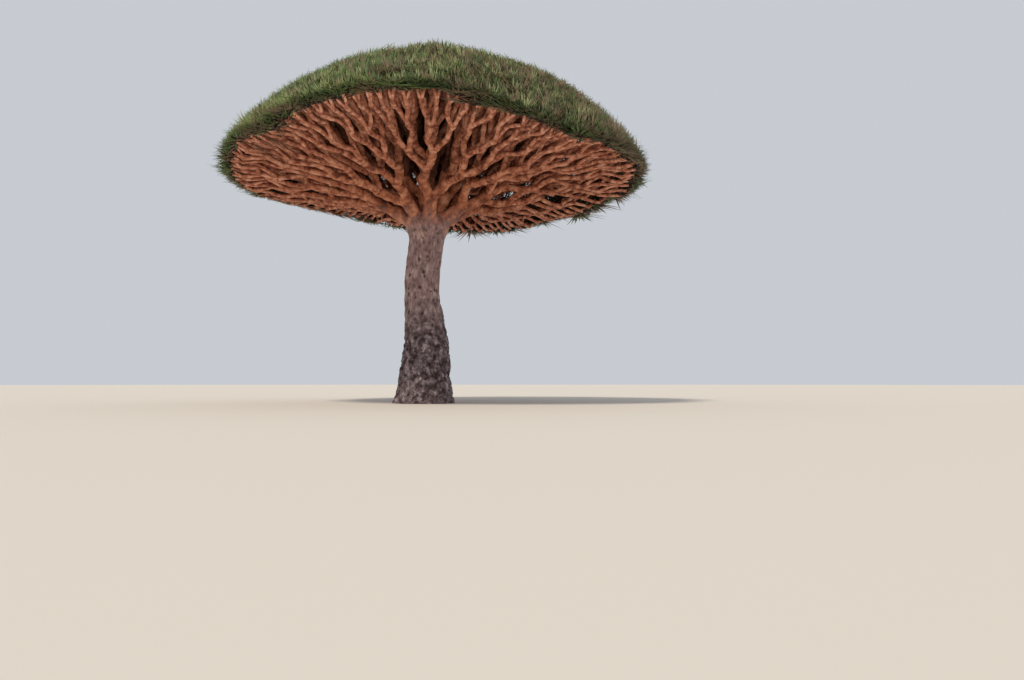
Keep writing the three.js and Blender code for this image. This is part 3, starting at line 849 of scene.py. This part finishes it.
# The vertices and faces of many tubes with as many rings and sides each.
def tubeArrays(group, rings, sides):
    t = np.linspace(0, 1, rings + 1)[None, :, None]
    start, middle, end = (np.array([limb["line"][i] for limb in group])[:, None] for i in range(3))
    points = (1 - t) ** 2 * start + 2 * t * (1 - t) * middle + t * t * end
    along = unit(2 * (1 - t) * (middle - start) + 2 * t * (end - middle))
    across = np.cross(along[:, :1], skew)
    across = unit(across - (across * along).sum(-1, keepdims=True) * along)
    over = np.cross(along, across)
    startRadius, endRadius = (np.array([limb["radii"][i] for limb in group])[:, None] for i in range(2))
    progress = t[..., 0]
    lumps = np.array([
        [chance(limb["key"] * twigs["ringKeys"] + ring, salts["lump"]) for ring in range(rings + 1)]
        for limb in group])
    swell = 1 + twigs["knuckle"] * progress ** twigs["knucklePower"] + twigs["lumpiness"] * (2 * lumps - 1)
    stout = 1 + twigs["stoutTips"] * (valuesOf(group, "level") >= twigs["stoutFrom"])[:, None]
    radius = mix(startRadius, endRadius, progress) * swell * stout
    turn = np.arange(sides) * fullTurn / sides
    circle = np.cos(turn)[:, None] * across[:, :, None] + np.sin(turn)[:, None] * over[:, :, None]
    vertices = points[:, :, None] + radius[:, :, None, None] * circle
    each = (rings + 1) * sides
    base = (np.arange(len(group)) * each)[:, None, None, None]
    ring = np.arange(rings)[:, None] * sides
    side = np.arange(sides)
    ahead = (side + 1) % sides
    quad = np.stack((ring + side, ring + ahead, ring + sides + ahead, ring + sides + side), axis=-1)
    quads = (base + quad[None]).reshape(-1, 4)
    first = (base[:, 0, 0] + side[::-1]).reshape(-1, sides)
    last = (base[:, 0, 0] + rings * sides + side).reshape(-1, sides)
    return vertices.reshape(-1, 3), quads, np.concatenate((first, last))


def makeTwigs(name, chosen, material):
    vertices = []
    faces = []
    youth = []
    depth = []
    count = 0
    for level in sorted({limb["level"] for limb in chosen}):
        group = [limb for limb in chosen if limb["level"] == level]
        sides = twigs["sides"][level - 1]
        found, quads, caps = tubeArrays(group, twigs["rings"][level - 1], sides)
        faces += [quads + count, caps + count]
        vertices.append(found)
        youth.append(np.full(len(found), (level - 1) / (len(twigs["sides"]) - 1)))
        # depth is painted shade, darkest on the limbs in the crown's middle and fading towards the rim
        depth.append(twigs["innerShade"] * (1 - smoothStep(placeOf(found)[1], *twigs["innerShadeShares"])))
        count += len(found)
    mesh = meshFromArrays(name, np.concatenate(vertices), faces)
    for label, values in (("youth", youth), ("depth", depth)):
        layer = mesh.attributes.new(label, "FLOAT", "POINT")
        layer.data.foreach_set("value", np.concatenate(values).astype(np.float32))
    mesh.shade_smooth()
    return addObject(name, mesh, material)


# Leaves: stiff sword-shaped blades. Each tuft has sprays of upright young blades at its heart and a
# skirt of older ones that lean out, and each spray is of one tint.
leaves = {
    "most": 190000,          # triangles in a piece
    "spare": 0.16,           # lengths differ by this share
    "leanSpare": 0.15,       # and leans and widths by these
    "widthSpare": 0.2,
    "turnSpare": 0.3,        # turns stray this far from the golden angle
    "rayShare": 0.6,         # a tuft turns this far from its twig's way to its ray
    "keel": 0.005,
    "lowest": 0.12,          # a blade rises at least this steeply
    "shoulder": 0.45,        # but on the crown's shoulder it may point this much lower
    "shoulderShares": (0.65, 0.85, 0.94, 0.985),   # which sets in between the first two, and then ends
    "droop": 0.5,            # and at the rim, in some tufts, up to this much lower
    "droopPower": 2.5,
    "longer": 0.22,          # the lower masses' blades are longer by this share
    "longerShares": (0.5, 0.75),
    "neighbour": 5,          # blades are also longer where this neighbour of their tuft is far off
    "mostRoom": 1.8,
    "roomy": 1.24,           # a tuft with more room than this has a second skirt
    "rimWider": 0.35,        # the rim's blades are wider by this share
    "sag": 0.02,
    "outline": 0.99,         # the tips end at this share of the way to the crown's outline
    "rimReach": 0.012,       # and this much farther at the very rim
    "reachShares": (0.92, 1),
    "tuftStray": 0.016,      # and the tufts' tips stray this much from it
    "bladeStray": 0.012,
    "strayLimits": (-2, 1.5),
    "rimMost": 1.05,
    "rimHeed": 2,            # passing the rim counts this many times
    "cuts": 3,               # a blade that passes is cut shorter, round after round
    "cutPace": 9,
    "cutMost": 0.5,
    "patch": 0.7,            # size of the patches of a tint
}

sprayKinds = {
    "heart": {
        "each": 4,           # sprays in a tuft
        "upper": 10,         # blades in a spray of the upper and the lower masses
        "lower": 7,
        "lean": (0.02, 0.4),     # from the tuft's innermost blade to its outermost
        "length": 0.38,
        "upright": (0.58, 0.4),  # how far a tuft turns upright, inside the crown and at its rim
        "sheath": (0.05, 0.05),  # the blades start along this much of the twig, there and there
        "belt": 0.34,        # where along its length a blade is widest
        "width": 0.018,
    },
    "skirt": {
        "each": 1,
        "upper": 34,
        "lower": 32,
        "lean": (0.4, 1.35),
        "length": 0.38,
        "upright": (0.5, 0.12),
        "sheath": (0.16, 0.06),
        "belt": 0.42,
        "width": 0.022,
    },
}

# each tint's blade colour and its sheath colour; the sheath is the brown leaf base, darkened further with
# painted shade under the tufts
tints = {
    "leavesOlive": ("#7a8350", "#53473a"),
    "leavesGreen": ("#627742", "#4a4033"),
    "leavesDeep": ("#4c5b36", "#312b23"),
    "leavesSage": ("#8e966a", "#5a4e40"),
    "leavesUmber": ("#76664f", "#382f27"),
}


# Which tint a spray has goes by patches, by chance, and by how dry that side of the crown is.
dealing = {
    "dryAzimuth": -0.6,      # the middle of the drier side, on the right
    "dryShares": (0.4, 0.85),    # rim shares over which it sets in
    "patchy": 0.6,
    "mingled": 0.5,
    "dryCooler": 0.2,
    "sage": 0.88,            # hearts over this chance are sage
    "umber": (0.06, 0.44),   # this share is umber, and so much more on the dry side
    "olive": 0.54,           # of the others, the warmest are olive
    "green": 0.34,           # and the coolest deep green
    "skirtPatchy": 0.35,
    "skirtPatch": 1.7,       # the skirts' patches are this much finer
    "rimDrier": 0.1,
    "sideDrier": 0.3,
    "skirtUmber": 0.78,
    "skirtDeep": 0.42,
}


# The leaves are drier on the right side and fresher on the left, and more so towards the rim.
def drySide(tip):
    rim = float(smoothStep(tip["share"], *dealing["dryShares"]))
    return math.cos(tip["azimuth"] - dealing["dryAzimuth"]) * rim


def heartTint(tip, salt):
    side = drySide(tip)
    warmth = 0.5 + dealing["patchy"] * noise.noise(tip["patch"])
    warmth = warmth + dealing["mingled"] * (chance(tip["key"], salt) - 0.5) - dealing["dryCooler"] * side
    if chance(tip["key"], salt + 1) > dealing["sage"]:
        return "leavesSage"
    if chance(tip["key"], salt + 1) < dealing["umber"][0] + dealing["umber"][1] * side:
        return "leavesUmber"
    if warmth > dealing["olive"]:
        return "leavesOlive"
    return "leavesGreen" if warmth > dealing["green"] else "leavesDeep"


def skirtTint(tip):
    patch = noise.noise(tip["patch"] * dealing["skirtPatch"])
    dryness = chance(tip["key"], salts["skirt"]) + dealing["skirtPatchy"] * patch
    dryness += dealing["rimDrier"] * float(rimward(tip["share"])) + dealing["sideDrier"] * drySide(tip)
    if dryness > dealing["skirtUmber"]:
        return "leavesUmber"
    return "leavesDeep" if dryness > dealing["skirtDeep"] else "leavesGreen"


# A tuft's room is how far off its near neighbours stand, against what is usual.
def measureRoom():
    points = valuesOf(tips, "point")
    apart = np.linalg.norm(points[:, None] - points[None], axis=-1)
    near = np.sort(apart, axis=1)[:, leaves["neighbour"]]
    for tip, room in zip(tips, near / np.median(near)):
        tip["room"] = min(max(room, 1), leaves["mostRoom"])


# Deals the sprays of the tufts out by tint, in loose patches.
def dealSprays():
    measureRoom()
    dealt = {name: {"heart": [], "skirt": []} for name in tints}
    for tip in tips:
        tip["patch"] = Vector(tuple(tip["point"])) / leaves["patch"]
        for index in range(sprayKinds["heart"]["each"]):
            dealt[heartTint(tip, salts["heart"] + 2 * index)]["heart"].append(tip)
        skirts = 2 if tip["room"] > leaves["roomy"] else 1
        dealt[skirtTint(tip)]["skirt"] += [tip] * skirts
    return dealt


# A blade has five corners: a root, a belt of three, and a tip. The faces at its root are sheath, coloured as
# the brown leaf base darkened further with painted shade.
bladeCorners = 5
bladeFan = np.array([(0, 2, 1), (0, 3, 2), (0, 1, 3), (4, 1, 2), (4, 2, 3), (4, 3, 1)])
bladeSlots = (1, 1, 1, 0, 0, 0)


def bladeArrays(roots, ends, widths, belt):
    span = ends - roots
    length = np.linalg.norm(span, axis=1, keepdims=True)
    along = span / length
    nudge = 1e-5             # for a blade that stands straight up
    side = unit(np.cross(along, (0.0, 0.0, 1.0)) + nudge)
    back = np.cross(side, along)
    centre = roots + span * belt + np.array((0, 0, leaves["sag"])) * length
    left = centre + side * widths / 2
    right = centre - side * widths / 2
    keel = centre - back * leaves["keel"]
    vertices = np.stack((roots, left, right, keel, ends), axis=1)
    faces = (np.arange(len(roots)) * bladeCorners)[:, None, None] + bladeFan[None]
    return vertices.reshape(-1, 3), faces.reshape(-1, 3)


# Factors that differ from 1 by up to a share.
def uneven(rng, share, size):
    return rng.uniform(1 - share, 1 + share, size)


def sprayBlades(chosen, kind, count, rng):
    tufts = len(chosen)
    points = valuesOf(chosen, "point")
    facing = unit(valuesOf(chosen, "facing"))
    share = valuesOf(chosen, "share")[:, None]
    room = valuesOf(chosen, "room")[:, None]
    rim = rimward(share)
    ray = unit(points - forkPoint)
    outward = leaves["rayShare"] * ray + (1 - leaves["rayShare"]) * facing
    axis = unit(mix(outward, np.array((0, 0, 1.0)), mix(*kind["upright"], rim)))
    side = unit(np.cross(axis, skew))
    over = np.cross(axis, side)
    order = (np.arange(count) + 0.5) / count
    lean = mix(*kind["lean"], np.sqrt(order))[None] * uneven(rng, leaves["leanSpare"], (tufts, count))
    turn = np.arange(count)[None] * goldenAngle + rng.uniform(0, fullTurn, (tufts, 1))
    turn = turn + rng.uniform(-leaves["turnSpare"], leaves["turnSpare"], (tufts, count))
    direction = (
        np.cos(lean)[..., None] * axis[:, None]
        + (np.sin(lean) * np.cos(turn))[..., None] * side[:, None]
        + (np.sin(lean) * np.sin(turn))[..., None] * over[:, None]
    )
    limp = np.array([chance(tip["key"], salts["droop"]) ** leaves["droopPower"] for tip in chosen])
    droop = leaves["droop"] * rim * limp[:, None]
    rise, full, fade, gone = leaves["shoulderShares"]
    droop = droop + leaves["shoulder"] * smoothStep(share, rise, full) * (1 - smoothStep(share, fade, gone))
    direction[..., 2] = np.maximum(direction[..., 2], leaves["lowest"] - droop)
    direction = unit(direction)
    length = kind["length"] * (1 + leaves["longer"] * smoothStep(share, *leaves["longerShares"]))
    length = length * room * uneven(rng, leaves["spare"], (tufts, count))
    sunk = mix(*kind["sheath"], rim) * rng.uniform(0, 1, (tufts, count)) * order
    roots = points[:, None] - facing[:, None] * sunk[..., None]
    massEnds = np.array([chance(tip["mass"], salts["end"]) for tip in chosen])[:, None]
    most = leaves["outline"] + leaves["rimReach"] * smoothStep(share, *leaves["reachShares"])
    most = most + limbs["massStray"] * (2 * massEnds - 1)
    for stray, size in ((leaves["tuftStray"], (tufts, 1)), (leaves["bladeStray"], (tufts, count))):
        most = most + stray * rng.normal(0, 1, size).clip(*leaves["strayLimits"])
    for _ in range(leaves["cuts"]):
        endShare, progress = placeOf(roots + direction * length[..., None])[1:]
        past = np.maximum(progress - most, (endShare - leaves["rimMost"]) * leaves["rimHeed"])
        length = length * np.clip(1 - leaves["cutPace"] * past, leaves["cutMost"], 1)
    ends = roots + direction * length[..., None]
    widths = kind["width"] * (1 + leaves["rimWider"] * rim)
    widths = (widths * uneven(rng, leaves["widthSpare"], (tufts, count)) * room).reshape(-1, 1)
    return bladeArrays(roots.reshape(-1, 3), ends.reshape(-1, 3), widths, kind["belt"])


def joinArrays(parts):
    offsets = np.cumsum([0] + [len(vertices) for vertices, _ in parts])
    vertices = np.concatenate([vertices for vertices, _ in parts])
    faces = np.concatenate([faces + offset for (_, faces), offset in zip(parts, offsets)])
    return vertices, faces


# Vertices and faces of blades from the sprays of one tint.
def tintArrays(sprays, rng):
    parts = []
    for kind, settings in sprayKinds.items():
        upper = [tip for tip in sprays[kind] if tip["share"] <= crown["upperShare"]]
        lower = [tip for tip in sprays[kind] if tip["share"] > crown["upperShare"]]
        for chosen, count in ((upper, settings["upper"]), (lower, settings["lower"])):
            if chosen:
                parts.append(sprayBlades(chosen, settings, count, rng))
    return joinArrays(parts)


# All the sprays of one tint, as one mesh or two.
def makeLeaves(name, sprays, seed):
    vertices, faces = tintArrays(sprays, np.random.default_rng(seed))
    skin, sheath = tints[name]
    word = name.removeprefix("leaves")
    # the sheath material is the leaf base's brown, darkened further with painted shade
    materials = [makeLeafSkin("waxyLeafSkin" + word, skin, leafLook["skin"]),
                 makeLeafSkin("leafSheathAndShade" + word, sheath, leafLook["sheath"])]
    each = len(bladeFan)
    blades = len(faces) // each
    pieces = math.ceil(len(faces) / leaves["most"])
    made = []
    for index in range(pieces):
        low = blades * index // pieces
        high = blades * (index + 1) // pieces
        label = name if pieces == 1 else name + str(index + 1)
        corners = vertices[low * bladeCorners:high * bladeCorners]
        chosen = faces[low * each:high * each] - low * bladeCorners
        mesh = meshFromArrays(label, corners, [chosen], np.tile(bladeSlots, high - low))
        made.append(addObject(label, mesh, *materials))
    return made


dry = {
    "seed": 77,
    "share": 0.45,           # of the tufts near the rim
    "atDips": 25,            # and more where the hem hangs lower
    "rim": 0.86,
    "rounds": 2,
    "count": 10,
    "length": 0.28,
    "lengths": (0.6, 1.1),   # from the shortest to the longest
    "width": 0.016,
    "widths": (0.7, 1.2),
    "lean": (0.7, 1.5),
    "sheath": 0.08,          # the blades start along this much of the twig
    "lowest": -0.12,         # they fall no more steeply than this
    "rimMost": (0.98, 1.05),
    "outline": 0.99,
    "belt": 0.4,
    "tint": "#8b705a",
    # the dry blades' sheath colour, their brown base darkened further with painted shade
    "shade": "#5b473a",
}


# Dry blades hang about the hem, from tufts near the rim.
def makeDryLeaves():
    rng = np.random.default_rng(dry["seed"])
    chosen = []
    for tip in tips:
        if tip["share"] > dry["rim"]:
            likely = dry["share"] + dry["atDips"] * hemDip(tip["azimuth"], tip["share"])
            lots = [chance(tip["key"], salts["dry"] + index) for index in range(dry["rounds"])]
            chosen += [tip for lot in lots if lot < likely]
    size = (len(chosen), dry["count"])
    points = valuesOf(chosen, "point")[:, None]
    facing = unit(valuesOf(chosen, "facing"))[:, None]
    side = unit(np.cross(facing, skew))
    over = np.cross(facing, side)
    turn = rng.uniform(0, fullTurn, size)[..., None]
    lean = rng.uniform(*dry["lean"], size)[..., None]
    direction = np.cos(lean) * facing + np.sin(lean) * (np.cos(turn) * side + np.sin(turn) * over)
    direction[..., 2] = np.maximum(direction[..., 2], dry["lowest"])
    direction = unit(direction)
    length = dry["length"] * rng.uniform(*dry["lengths"], size)[..., None]
    roots = points - facing * rng.uniform(0, dry["sheath"], size)[..., None]
    azimuth, share, progress = placeOf(roots + direction * length)
    most = rng.uniform(*dry["rimMost"], size)
    ends = crownPlace(azimuth, np.minimum(share, most), np.minimum(progress, dry["outline"]))
    widths = dry["width"] * rng.uniform(*dry["widths"], (len(chosen) * dry["count"], 1))
    vertices, faces = bladeArrays(roots.reshape(-1, 3), ends.reshape(-1, 3), widths, dry["belt"])
    slots = np.tile(bladeSlots, len(faces) // len(bladeFan))
    mesh = meshFromArrays("leavesDry", vertices, [faces], slots)
    skin = makeLeafSkin("dryLeafSkin", dry["tint"], leafLook["drySkin"])
    sheath = makeLeafSkin("dryLeafSheathAndShade", dry["shade"], leafLook["drySheath"])
    return addObject("leavesDry", mesh, skin, sheath)


def settle(piece, nodes):
    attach(piece, "root")
    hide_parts(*nodes)
    triangles = sum(len(polygon.vertices) - 2 for polygon in piece.data.polygons)
    print(piece.name, triangles, "triangles")


woodNodes = [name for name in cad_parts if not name.startswith("foliage")]
foliageNodes = [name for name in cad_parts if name.startswith("foliage")]

settle(makeTrunk(makeBark()), woodNodes)

twigBark = makeTwigBark()
for name, low, high in (("twigsInner", 1, 5), ("twigsOuter", 6, 7)):
    chosen = [limb for limb in grown if low <= limb["level"] <= high]
    settle(makeTwigs(name, chosen, twigBark), foliageNodes)

for seed, (name, sprays) in enumerate(dealSprays().items()):
    for piece in makeLeaves(name, sprays, seed):
        settle(piece, foliageNodes)
settle(makeDryLeaves(), foliageNodes)


# The set: a pale floor under soft light
studio = {
    "floor": "#cdc7be",
    "floorRadius": 120,
    "floorSides": 96,
    "floorDrop": 0.002,      # it lies this far under the cut
    "surround": "#e9eef5",
    "surroundStrength": 0.7,
    "lamp": "#fff3e2",
    "lampEnergy": 2.6,
    "lampPlace": (-5, -7, 14),
    "lampTarget": (0, 0, 3),
    "lampAngle": math.radians(10),   # wide, for soft shadows
}


def makeFloor():
    bm = bmesh.new()
    bmesh.ops.create_circle(bm, segments=studio["floorSides"], radius=studio["floorRadius"], cap_ends=True)
    mesh = bpy.data.meshes.new("floor")
    bm.to_mesh(mesh)
    bm.free()
    material, tree = newMaterial("paleStudioFloor")
    place = addNode(tree, "ShaderNodeTexCoord").outputs["Object"]
    speckle = addNode(tree, "ShaderNodeTexNoise", {"Vector": place, "Scale": 3, "Detail": 2})
    rough = addNode(tree, "ShaderNodeMapRange", {
        "Value": speckle.outputs["Fac"], "To Min": 0.85, "To Max": 0.95})
    shader = addNode(tree, "ShaderNodeBsdfPrincipled", {
        "Base Color": linearColour(studio["floor"]), "Roughness": rough.outputs["Result"],
        "Specular IOR Level": 0.1})
    addNode(tree, "ShaderNodeOutputMaterial", {"Surface": shader.outputs["BSDF"]})
    floor = addObject("floor", mesh, material)
    floor.location.z = -studio["floorDrop"]


def addLamp():
    light = bpy.data.lights.new("key", "SUN")
    light.energy = studio["lampEnergy"]
    light.color = linearColour(studio["lamp"])[:3]
    light.angle = studio["lampAngle"]
    lamp = addObject("key", light)
    lamp.location = studio["lampPlace"]
    way = Vector(studio["lampTarget"]) - Vector(studio["lampPlace"])
    lamp.rotation_euler = way.to_track_quat("-Z", "Y").to_euler()


def makeStudio():
    makeFloor()
    world = bpy.data.worlds.new("studio")
    world.use_nodes = True
    background = world.node_tree.nodes["Background"]
    background.inputs["Color"].default_value = linearColour(studio["surround"])
    background.inputs["Strength"].default_value = studio["surroundStrength"]
    bpy.context.scene.world = world
    addLamp()
    bpy.context.scene.view_settings.view_transform = "Standard"


camera = {"place": (0.05, -13.0, 0.35), "pitch": 3.25, "turn": -6.44, "lens": 26.37, "sensor": 36}


def makeCamera():
    data = bpy.data.cameras.new("camera")
    data.sensor_width = camera["sensor"]
    data.lens = camera["lens"]
    made = addObject("camera", data)
    made.location = camera["place"]
    made.rotation_euler = (math.radians(90 + camera["pitch"]), 0, math.radians(camera["turn"]))
    bpy.context.scene.camera = made


makeStudio()
makeCamera()
